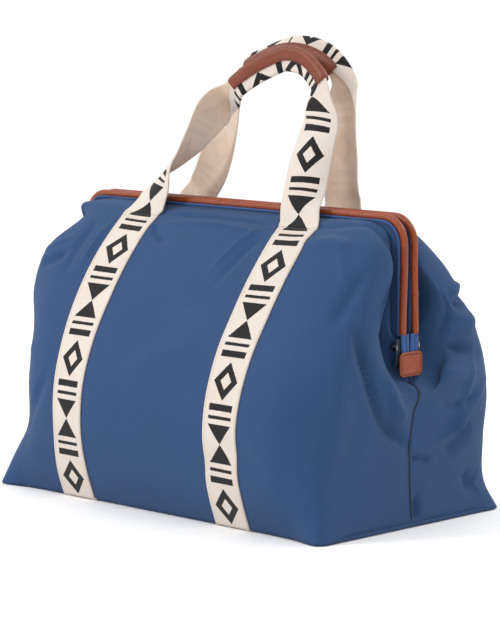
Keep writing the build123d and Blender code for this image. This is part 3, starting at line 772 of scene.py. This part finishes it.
# webbing on the panels and under the base, mm except its thickness and lift in metres
webbingSize = {"half": 27.5, "thickness": 0.0016, "lift": 0.0018, "strapAt": 132, "top": 0.925, "across": 31,
               "patternFrom": 0.15, "seamIn": 2.2, "bars": (0.9, 0.906)}
acrossWebbing = np.linspace(-webbingSize["half"], webbingSize["half"], webbingSize["across"])
panelRun, panelTop = {}, {}
for side, half in halves.items():
    for hand, place in hands.items():
        centre = hand * webbingSize["strapAt"] - (2 if (side, hand) == (-1, -1) else 0)
        rows = np.linspace(0, webbingSize["top"], 120)
        grid = onShell(side, centre + acrossWebbing, rows, webbingSize["lift"])
        middle = grid[:, webbingSize["across"] // 2]
        panelTop[side, hand] = grid[-1]
        run = np.concatenate([[0], np.cumsum(np.linalg.norm(np.diff(middle, axis=0), axis=1))])
        panelRun[side, hand] = run[-1]
        uv = np.stack(np.meshgrid(acrossWebbing / 1000, run + webbingSize["patternFrom"]), axis=2)
        strip = clothSheet(f"{half}{place.title()}PanelWebbing", grid, webbingSize["thickness"], webbingCloth,
                           outward=-side, uv=uv, printed=True)
        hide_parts(f"{half}_{place}_wall_webbing", f"{half}_{place}_top_webbing")
        acrossHinge(strip)
        seamLift = webbingSize["lift"] + 0.0002
        inset = (webbingSize["half"] - webbingSize["seamIn"]) * np.array([-1, 1])
        edges = onShell(side, centre + inset, rows, seamLift)
        bars = [onShell(side, centre + acrossWebbing * 0.9, [at], seamLift)[0] for at in webbingSize["bars"]]
        seam = stitches(f"{half}{place.title()}PanelSeam", [edges[:, 0], edges[:, 1], *bars], creamThread)
        acrossHinge(seam)

for hand, place in hands.items():
    # it runs flat under the base and turns up a little at both edges
    y = np.array([-151.5, -151, -149.5, -147, *np.linspace(-140, 140, 29), 147, 149.5, 151, 151.5]) / 1000
    z = np.array([3.2, 1.9, 0.8, 0.25, *[0.1] * 29, 0.25, 0.8, 1.9, 3.2]) / 1000
    grid = np.zeros((len(y), len(acrossWebbing), 3))
    grid[:, :, 0] = (hand * webbingSize["strapAt"] + acrossWebbing)[None] / 1000
    grid[:, :, 1] = y[:, None]
    grid[:, :, 2] = z[:, None]
    uv = np.stack(np.meshgrid(acrossWebbing / 1000, y), axis=2)
    under = clothSheet(place + "BaseWebbing", grid, 0.0012, webbingCloth, outward=-1, uv=uv, printed=True)
    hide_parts(place + "_base_webbing")
    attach(under, "bag")
print("panel webbing made")

# the rim, metres: outward is away from the mouth's middle, side is away from the zip
rimLook = {"casing": (-0.0188, -0.0036, 0.0058, 0.0148), "casingFoot": 0.2235, "pipingFoot": 0.2255,
           "tape": (-0.016, -0.0022, 0.0046, 0.006), "seamOut": -0.0072, "seamSide": 0.0147,
           "edgeOut": -0.0040, "edgeSide": 0.0138, "edgeRadius": 0.0014,
           "pipeNear": 0.0084, "pipeFar": 0.0108, "leanFrom": 0.31, "leanOver": 0.08, "tapeFoot": 0.2222}
for side, half in halves.items():
    outLow, outHigh, nearSide, farSide = rimLook["casing"]
    path, outward, sideways = mouthPath(0, 0, rimLook["casingFoot"])
    ring = softBox(outLow, outHigh, nearSide, farSide)
    casing = sweep(half + "Casing", path, outward, sideways * side, ring, canvas)
    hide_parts(half + "_casing")
    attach(casing, half + "_frame")
    seamLine = path + outward * rimLook["seamOut"] + sideways * side * rimLook["seamSide"]
    seam = stitches(half + "CasingSeam", [seamLine], navyThread, 0.0038, 0.0026, 0.0012)
    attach(seam, half + "_frame")

    path, outward, sideways = mouthPath(0, 0, rimLook["pipingFoot"], 0.003)
    lean = smooth((rimLook["leanFrom"] - path[:, 2]) / rimLook["leanOver"])  # apart towards their feet
    path[:, 1] = side * (rimLook["pipeNear"] + (rimLook["pipeFar"] - rimLook["pipeNear"]) * lean)
    size = np.ones(len(path))
    size[[0, -1]] = 0.9
    section = roundSection(pipeRadius, 20, 0.96)
    piping = sweep(half + "Piping", path, outward, sideways, section, trimLeather, size)
    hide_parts(half + "_piping")
    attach(piping, half + "_frame")

    across, inset = side * rimLook["edgeSide"], -rimLook["edgeOut"]
    edgePath, outward, sideways = mouthPath(across, inset, rimLook["casingFoot"])
    section = roundSection(rimLook["edgeRadius"], 8)
    edging = sweep(half + "TapeEdge", edgePath, outward, sideways, section, tapeCloth)
    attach(edging, half + "_frame")
    feet = []
    for hand in hands:
        a = np.linspace(-0.9, 0.9, 9)[:, None]
        foot = (hand * rimHalf, side * rimLook["pipeFar"], rimLook["pipingFoot"] + 0.003)
        feet.append(foot + (pipeRadius + 0.0001) * np.concatenate([hand * np.cos(a), np.sin(a), 0 * a], axis=1))
    tack = stitches(half + "PipingTack", feet, brownThread, 0.0019, 0.0014, 0.0008)
    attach(tack, half + "_frame")

    outLow, outHigh, nearSide, farSide = rimLook["tape"]
    path, outward, sideways = mouthPath(0, 0, rimLook["tapeFoot"])
    section = softBox(outLow, outHigh, nearSide, farSide, 4, 16)
    tape = sweep(half + "ZipTape", path, outward, sideways * side, section, tapeCloth)
    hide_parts(half + "_zip_tape")
    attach(tape, half + "_frame")


def toothTree():
    # one moulded tooth after another: a foot on the tape and a head that reaches over the middle
    tree, given = rowTree("toothRow", [("Pitch", "NodeSocketFloat", 0.003),
                                       ("Thread", "NodeSocketMaterial", None)])
    spots = addNode(tree, "GeometryNodeCurveToPoints", {"Curve": given["Geometry"], "Length": given["Pitch"]},
                    mode="LENGTH")
    foot = addNode(tree, "GeometryNodeMeshCube", {"Size": (0.0026, 0.0034, 0.0013)})
    head = addNode(tree, "GeometryNodeMeshUVSphere", {"Segments": 8, "Rings": 5, "Radius": 0.0013})
    shifted = addNode(tree, "GeometryNodeTransform", {"Geometry": head.outputs[0], "Translation": (0, 0.0019, 0),
                                                     "Scale": (1.0, 0.9, 0.62)})
    tooth = addNode(tree, "GeometryNodeJoinGeometry")
    tree.links.new(foot.outputs[0], tooth.inputs[0])
    tree.links.new(shifted.outputs[0], tooth.inputs[0])
    placed = addNode(tree, "GeometryNodeInstanceOnPoints", {"Points": spots.outputs["Points"],
                     "Instance": tooth.outputs[0], "Rotation": spots.outputs["Rotation"]})
    real = addNode(tree, "GeometryNodeRealizeInstances", {"Geometry": placed.outputs[0]})
    finish = addNode(tree, "GeometryNodeSetMaterial", {"Geometry": real.outputs[0], "Material": given["Thread"]})
    addNode(tree, "NodeGroupOutput", {"Geometry": finish.outputs[0]})
    return tree


toothRow = toothTree()
zipLook = {"pitch": 0.003, "inset": 0.004, "toothAt": 0.0024, "foot": 0.226}
for side, half in halves.items():
    path, outward, sideways = mouthPath(side * zipLook["toothAt"], zipLook["inset"], zipLook["foot"])
    if side > 0:
        path = path + np.gradient(path, axis=0) / 0.004 * zipLook["pitch"] / 2
    chain = runTree(half + "ZipTeeth", seamCurve(half + "ZipLine", [path]), toothRow,
                    {"Pitch": zipLook["pitch"], "Thread": nylonTeeth})
    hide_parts(half + "_zip_chain")
    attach(chain, half + "_frame")
print("rim made")

# end tabs, the facings behind them and the zip's tails, metres
tabLook = {"bevel": 0.0011, "seamIn": 0.0028, "corner": 0.0065, "raised": 0.0045,
           "wider": 1.06, "shorter": 0.94}
facingLook = {"gap": 0.0010, "half": 0.0206, "low": 0.186, "high": 0.2222, "dropBelow": 0.198,
              "dropOver": 0.014, "drop": 0.008, "edgeDrop": 0.002}
tailLook = {"at": (-0.0122, -0.0045, 0.0045, 0.0122), "half": 0.0037, "proud": 0.0020, "low": 0.198,
            "rise": 0.029, "gap": 0.0014, "stagger": 0.0006, "gather": 0.2}


def roundedRing(halfWidth, halfHeight, corner):
    # points round a rounded rectangle, corner by corner
    bend = np.radians(np.linspace(0, 90, 9))
    points = []
    for k, (sx, sy) in enumerate(((1, 1), (-1, 1), (-1, -1), (1, -1))):
        turn = bend if k % 2 == 0 else bend[::-1]
        for a in turn:
            points.append((sx * (halfWidth - corner + corner * math.cos(a)),
                           sy * (halfHeight - corner + corner * math.sin(a))))
    return np.array(points)


def roundedPlate(name, centre, halfWidth, halfHeight, corner, layers, material, hand):
    # rings of a rounded rectangle, stepped inward at different depths, closed by a middle point
    rings, points, faces, uvs = [], [], [], []
    for inward, depth in layers:
        ring = roundedRing(halfWidth - inward, halfHeight - inward, max(corner - inward, 0.0008))
        rings.append(len(points))
        for u, v in ring:
            points.append((centre[0] + hand * depth, centre[1] + u, centre[2] + v))
            uvs.append((u, v))
    count = len(ring)
    for a, b in zip(rings[:-1], rings[1:]):
        for j in range(count):
            k = (j + 1) % count
            faces.append((a + j, a + k, b + k, b + j))
    for first, depth in ((rings[0], layers[0][1]), (rings[-1], layers[-1][1])):
        points.append((centre[0] + hand * depth, centre[1], centre[2]))
        uvs.append((0, 0))
        for j in range(count):
            faces.append((first + j, first + (j + 1) % count, len(points) - 1))
    return facesOutward(newObject(name, points, faces, material, uvs))


for hand, place in hands.items():
    low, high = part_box(place + "_end_tab")
    inner = low.x if hand > 0 else high.x
    thick = high.x - low.x
    centre = (inner, (low.y + high.y) / 2, (low.z + high.z) / 2 + tabLook["raised"])
    halfY, halfZ = (high.y - low.y) / 2 * tabLook["wider"], (high.z - low.z) / 2 * tabLook["shorter"]
    bevel, seamIn = tabLook["bevel"], tabLook["seamIn"]
    layers = [(bevel, 0), (0, bevel), (0, thick - bevel), (bevel * 0.4, thick - bevel * 0.3), (bevel, thick),
              (seamIn - 0.0009, thick), (seamIn, thick - 0.0005), (seamIn + 0.0009, thick),
              (seamIn + 0.004, thick + 0.0003), (halfZ * 0.7, thick + 0.0005)]
    tab = roundedPlate(place + "EndTab", centre, halfY, halfZ, tabLook["corner"], layers, trimLeather, hand)
    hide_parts(place + "_end_tab")
    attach(tab, "bag")
    ring = roundedRing(halfY - seamIn, halfZ - seamIn, tabLook["corner"] - seamIn)
    ring = np.concatenate([ring, ring[:1]])
    line = np.stack([np.full(len(ring), centre[0] + hand * (thick + 0.0001)), centre[1] + ring[:, 0],
                     centre[2] + ring[:, 1]], axis=1)
    seam = stitches(place + "TabSeam", [line], brownThread, 0.0032, 0.0021, 0.0011)
    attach(seam, "bag")

    # cloth facing over the frame's hinge, behind the zip's tails; its near-black navy is painted shade for the
    # recess at the end
    plateLow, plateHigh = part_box(place + "_hinge_plate")
    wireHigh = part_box("front_frame_wire")[1]
    reach = max(abs(plateLow.x), abs(plateHigh.x), wireHigh.x) + facingLook["gap"]
    y = np.linspace(-facingLook["half"], facingLook["half"], 25)
    z = np.linspace(facingLook["low"], facingLook["high"], 19)
    grid = np.zeros((len(z), len(y), 3))
    below = np.clip((facingLook["dropBelow"] - z) / facingLook["dropOver"], 0, 1)[:, None] ** 2
    beside = np.abs(y / facingLook["half"])[None] ** 8
    grid[:, :, 0] = hand * (reach - below * facingLook["drop"] - beside * facingLook["edgeDrop"])
    grid[:, :, 1] = y[None]
    grid[:, :, 2] = z[:, None]
    facing = clothSheet(place + "HingeFacingShade", grid, 0.0010, facingShadeCloth, outward=hand)
    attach(facing, "bag")

    # the zip's tapes run on as four loose folds from the pipings' feet into the tab
    for k, y in enumerate(tailLook["at"]):
        rise = np.linspace(0, 1, 12)
        out = reach + tailLook["gap"] - tailLook["stagger"] * (k % 2)
        gather = 1 - tailLook["gather"] * (1 - rise)
        up = tailLook["low"] + tailLook["rise"] * rise
        spine = np.stack([np.full(len(rise), hand * out), y * gather, up], axis=1)
        across = np.linspace(-1, 1, 9)
        grid = spine[:, None] + (across * tailLook["half"])[None, :, None] * np.array([0, 1.0, 0])
        grid[:, :, 0] += hand * (tailLook["proud"] * np.cos(across * math.pi / 2))[None]
        tail = clothSheet(f"{place}ZipTail{k + 1}", grid, 0.0008, tapeCloth, outward=hand)
        side = -1 if y < 0 else 1
        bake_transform(tail)
print("tabs made")

# from the left foot over the grip to the right foot, mm: the webbing's middle, the direction of its
# width away from the edge that is folded, and how far it is folded lengthwise (0 flat, 1 in half)
handleStations = {
    -1: [(-130, -39, 350, 1, -0.08, 0, 0), (-126, -33, 368, 0.98, -0.2, 0, 0),
         (-121, -26, 386, 0.85, -0.5, 0, 0), (-110, -18, 406, 0.52, -0.85, 0, 0),
         (-94, -10, 426, 0.22, -0.97, 0, 0), (-78, -1, 451, 0, -1, 0.1, 0),
         (-66, 7, 471, -0.15, -0.9, 0.35, 0.15), (-54, 13, 487, -0.35, -0.7, 0.5, 0.5),
         (-42, 16, 498, -0.6, -0.25, 0.7, 0.9), (-34, 17, 505, -0.7, 0, 0.7, 1),
         (-16, 22, 519, -0.5, 0, 0.85, 1), (8, 27, 532, -0.3, 0, 0.95, 1), (41, 31, 543, 0, 0, 1, 1),
         (69, 30, 540, 0.2, 0, 1, 1), (95, 25, 527, 0.5, 0, 0.85, 1), (111, 21, 513, 0.7, 0, 0.7, 1),
         (118, 17, 497, 0.85, 0.1, 0.5, 0.85), (119, 10, 478, 0.95, 0.15, 0.2, 0.4),
         (118, 0, 454, 0.99, 0.1, 0, 0), (119, -12, 423, 0.96, 0.25, 0, 0),
         (122, -24, 392, 0.95, 0.3, 0, 0), (124, -33, 368, 0.98, 0.18, 0, 0),
         (129, -39, 350, 1, 0.08, 0, 0)],
    1: [(-127, 41, 350, 1, 0.03, 0, 0), (-114, 46, 368, 1, 0, 0, 0), (-101, 49, 386, 1, 0, 0, 0),
        (-90, 50, 410, 1, 0, 0, 0), (-80, 51, 440, 1, -0.05, 0, 0),
        (-71, 53, 470, 0.95, -0.2, -0.15, 0.1), (-63, 55, 498, 0.8, -0.4, -0.4, 0.5),
        (-57, 57, 514, 0.6, -0.6, -0.55, 0.9), (-50, 58, 526, 0.5, -0.7, -0.5, 1),
        (-34, 58, 534, 0.3, -0.8, -0.5, 1), (-8, 58, 543, 0.1, -0.8, -0.6, 1),
        (22, 58, 547, 0, -0.7, -0.7, 1), (54, 58, 543, -0.15, -0.5, -0.85, 1),
        (77, 58, 535, -0.4, -0.35, -0.85, 1), (95, 57, 523, -0.6, -0.3, -0.7, 1),
        (104, 56, 510, -0.8, -0.25, -0.5, 0.85), (110, 55, 492, -0.95, -0.15, -0.2, 0.4),
        (116, 53, 458, -1, 0, 0, 0), (121, 51, 410, -1, 0, 0, 0), (124, 47, 370, -1, 0, 0, 0),
        (129, 41, 350, -1, 0, 0, 0)],
}
handleLook = {"across": 31, "step": 0.0025, "foldRadius": 2.4, "heldAt": 19.4, "curl": 8,
              "settleOver": 0.02, "curlFrom": 0.06, "seamDown": 0.0060, "seamOut": 0.0047}


def handleRun(side):
    # centre line, direction away from the fold, printed face's direction, fold and running length
    stations = np.array(handleStations[side], float)
    feet = []
    for hand, turn in ((-1, 1), (1, side * -1)):
        lastRow = panelTop[side, hand]
        feet.append([*lastRow.mean(axis=0) * 1000, turn, 0, 0, 0])
    stations = np.concatenate([[feet[0]], stations, [feet[1]]])
    gaps = np.linalg.norm(np.diff(stations[:, :3], axis=0), axis=1)
    knots = np.concatenate([[0], np.cumsum(gaps)])
    at = np.linspace(0, knots[-1], int(knots[-1] / 1000 / handleLook["step"]))
    run = throughPoints(stations, knots, at)
    centre, away, fold = run[:, :3] / 1000, run[:, 3:6], np.clip(run[:, 6], 0, 1)
    tangent = np.gradient(centre, axis=0)
    tangent /= np.linalg.norm(tangent, axis=1, keepdims=True)
    away = away - tangent * (away * tangent).sum(axis=1, keepdims=True)
    away /= np.linalg.norm(away, axis=1, keepdims=True)
    # the front webbing is folded over one edge on its way up and over the other on its way down
    turn = np.where((at > knots[-1] / 2) & (side < 0), -1.0, 1.0)
    face = np.cross(away, tangent) * -side * turn[:, None]
    return centre, away, face, fold, turn, at / 1000, knots / 1000


def foldedSection(columns, fold, turn, loose):
    # places of the webbing's width along the away direction and behind its printed face, mm
    radius, half = handleLook["foldRadius"], webbingSize["half"]
    place = columns * turn
    foldLine = -half * (1 - fold)
    beyond = np.maximum(foldLine - place, 0)
    angle = np.minimum(beyond / radius, math.pi)
    along = np.where(place >= foldLine, place, foldLine - radius * np.sin(angle)
                     + np.maximum(beyond - math.pi * radius, 0))
    behind = radius * (1 - np.cos(angle))
    ease = smooth(fold)
    curl = handleLook["curl"] * (place / half) ** 2 * (1 - ease) * loose
    return along - handleLook["heldAt"] * ease, behind + curl - radius * ease


gripSpan = {-1: (10, 16), 1: (9, 15)}  # the stations at which each grip starts and ends


def gripSection():
    # leather folded over the webbing: round at the top, its two edges meeting the webbing below
    top = np.radians(np.linspace(0, 180, 17))
    points = [(3.4 + 5.8 * math.sin(a), 5.8 * math.cos(a)) for a in top]
    points += [(0, -5.5), (-4.0, -4.9), (-7.2, -4.4), (-8.1, -4.1), (-8.4, -3.6), (-8.4, 3.6), (-8.1, 4.1),
               (-7.2, 4.4), (-4.0, 4.9), (0, 5.5)]
    return np.array(points) / 1000


for side, half in halves.items():
    centre, away, face, fold, turn, length, knots = handleRun(side)
    columns = np.linspace(-webbingSize["half"], webbingSize["half"], handleLook["across"])
    grid = np.zeros((len(centre), len(columns), 3))
    for i in range(len(centre)):
        loose = smooth(min(length[i], length[-1] - length[i]) / handleLook["curlFrom"])
        along, behind = foldedSection(columns, fold[i], turn[i], loose)
        grid[i] = centre[i] + (away[i] * along[:, None] - face[i] * behind[:, None]) / 1000
    # both feet start as the webbing on the panel ends
    settle = smooth(1 - length / handleLook["settleOver"])[:, None, None]
    for k, hand in ((1, -1), (-1, 1)):
        last = panelTop[side, hand][::k]
        grid = grid + (last - grid[::k][0])[None] * settle[::k]
    # the pattern carries on from the panels below and meets under the grip
    upward = np.minimum(length, length[-1] - length)
    run = webbingSize["patternFrom"] + panelRun[side, -1] + upward
    uv = np.stack(np.meshgrid(columns / 1000, run), axis=2)
    strap = clothSheet(half + "HandleWebbing", grid, webbingSize["thickness"], webbingCloth, outward=-side,
                       uv=uv, printed=True)
    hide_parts(half + "_handle_webbing")
    low = (0, side * 0.045, 0.346)
    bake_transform(strap)

    first, last = knots[gripSpan[side][0]], knots[gripSpan[side][1]]
    held = (length >= first - 0.003) & (length <= last + 0.002)
    out = face[held] * turn[held][:, None]
    scale = np.ones(held.sum())
    scale[[0, -1]] = 0.94
    grip = sweep(half + "Grip", centre[held], away[held], out, gripSection(), gripLeather, scale)
    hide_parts(half + "_grip")
    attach(grip, half + "_handle")
    rows = []
    for hand in hands:
        line = centre[held] - away[held] * handleLook["seamDown"] + out * hand * handleLook["seamOut"]
        rows.append(line[1:-1])
    seam = stitches(half + "GripSeam", rows, brownThread, 0.0036, 0.0025, 0.0010)
    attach(seam, half + "_handle")
print("handles made")

# slider and pull: the CAD shapes with their edges rounded
metalLook = {"zip_slider": ("zipSlider", 0.0006), "zip_pull": ("zipPull", 0.0005)}
for node, (name, bevel) in metalLook.items():
    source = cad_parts[node]
    mesh = source.data.copy()
    mesh.materials.clear()
    mesh.materials.append(sliderMetal)
    copy = bpy.data.objects.new(name, mesh)
    bpy.context.scene.collection.objects.link(copy)
    facesOutward(copy, merge=True)
    rounded = copy.modifiers.new("rounded", "BEVEL")
    rounded.width = bevel
    rounded.segments = 2
    rounded.limit_method = "ANGLE"
    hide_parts(node)
    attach(copy, node + "_body")

# CAD nodes that show as they are
kept = {"base_board": boardPlastic, "left_hinge_plate": platedSteel, "right_hinge_plate": platedSteel,
        "front_frame_wire": springSteel, "rear_frame_wire": springSteel}
for node, material in kept.items():
    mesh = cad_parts[node].data
    mesh.materials.clear()
    mesh.materials.append(material)
print("metalwork made")

floorMaterial, floorTree, floorShader = newMaterial("paintedFloor", 0.7)
floorPlace = addNode(floorTree, "ShaderNodeTexCoord").outputs["Object"]
speckle = addNode(floorTree, "ShaderNodeTexNoise", {"Vector": floorPlace, "Scale": 3.0, "Detail": 4.0})
floorColour = addNode(floorTree, "ShaderNodeMix", {0: speckle, 6: hexColour("#FBFBFB"), 7: hexColour("#FEFEFE")},
                      data_type="RGBA")
floorTree.links.new(floorColour.outputs[2], floorShader.inputs["Base Color"])
floorReach = 90  # so wide that its edge is out of sight
corners = [(x * floorReach, y * floorReach, 0) for x, y in ((-1, -1), (1, -1), (1, 1), (-1, 1))]
floor = newObject("floor", corners, [(0, 1, 2, 3)], floorMaterial)

world = bpy.data.worlds.new("studio")
bpy.context.scene.world = world
world.use_nodes = True
background = world.node_tree.nodes["Background"]
skyTree = world.node_tree
# the studio is darker low down than overhead
skyPlace = addNode(skyTree, "ShaderNodeTexCoord").outputs["Generated"]
height = addNode(skyTree, "ShaderNodeSeparateXYZ", {0: skyPlace})
brightness = addNode(skyTree, "ShaderNodeMapRange", {
    "Value": height.outputs[2], "From Min": 0.0, "From Max": 0.9, "To Min": 0.5, "To Max": 1.3})
background.inputs[0].default_value = (1, 1, 1, 1)
skyTree.links.new(brightness.outputs[0], background.inputs[1])
bpy.context.scene.view_settings.view_transform = "Standard"

lamps = [
    {"name": "keyLight", "at": (-1.6, -2.6, 2.2), "size": 0.9, "power": 52},
    {"name": "backLight", "at": (0.9, 2.6, 2.4), "size": 1.4, "power": 35},
]
aim = Vector((0, 0, 0.22))
for lamp in lamps:
    data = bpy.data.lights.new(lamp["name"], "AREA")
    data.size = lamp["size"]
    data.energy = lamp["power"]
    light = bpy.data.objects.new(lamp["name"], data)
    light.location = lamp["at"]
    light.rotation_euler = (aim - light.location).to_track_quat("-Z", "Y").to_euler()
    bpy.context.scene.collection.objects.link(light)

cameraLook = {"azimuth": 44.58, "elevation": 7.255, "at": (2.3722, -2.3961, 0.6566), "lens": 160.1}
a, e = math.radians(cameraLook["azimuth"]), math.radians(cameraLook["elevation"])
toward = Vector((-math.sin(a) * math.cos(e), math.cos(a) * math.cos(e), -math.sin(e)))
cameraData = bpy.data.cameras.new("camera")
cameraData.lens = cameraLook["lens"]
cameraData.sensor_width = 36
camera = bpy.data.objects.new("camera", cameraData)
camera.location = cameraLook["at"]
camera.rotation_euler = toward.to_track_quat("-Z", "Y").to_euler()
bpy.context.scene.collection.objects.link(camera)
bpy.context.scene.camera = camera
print("stage made")
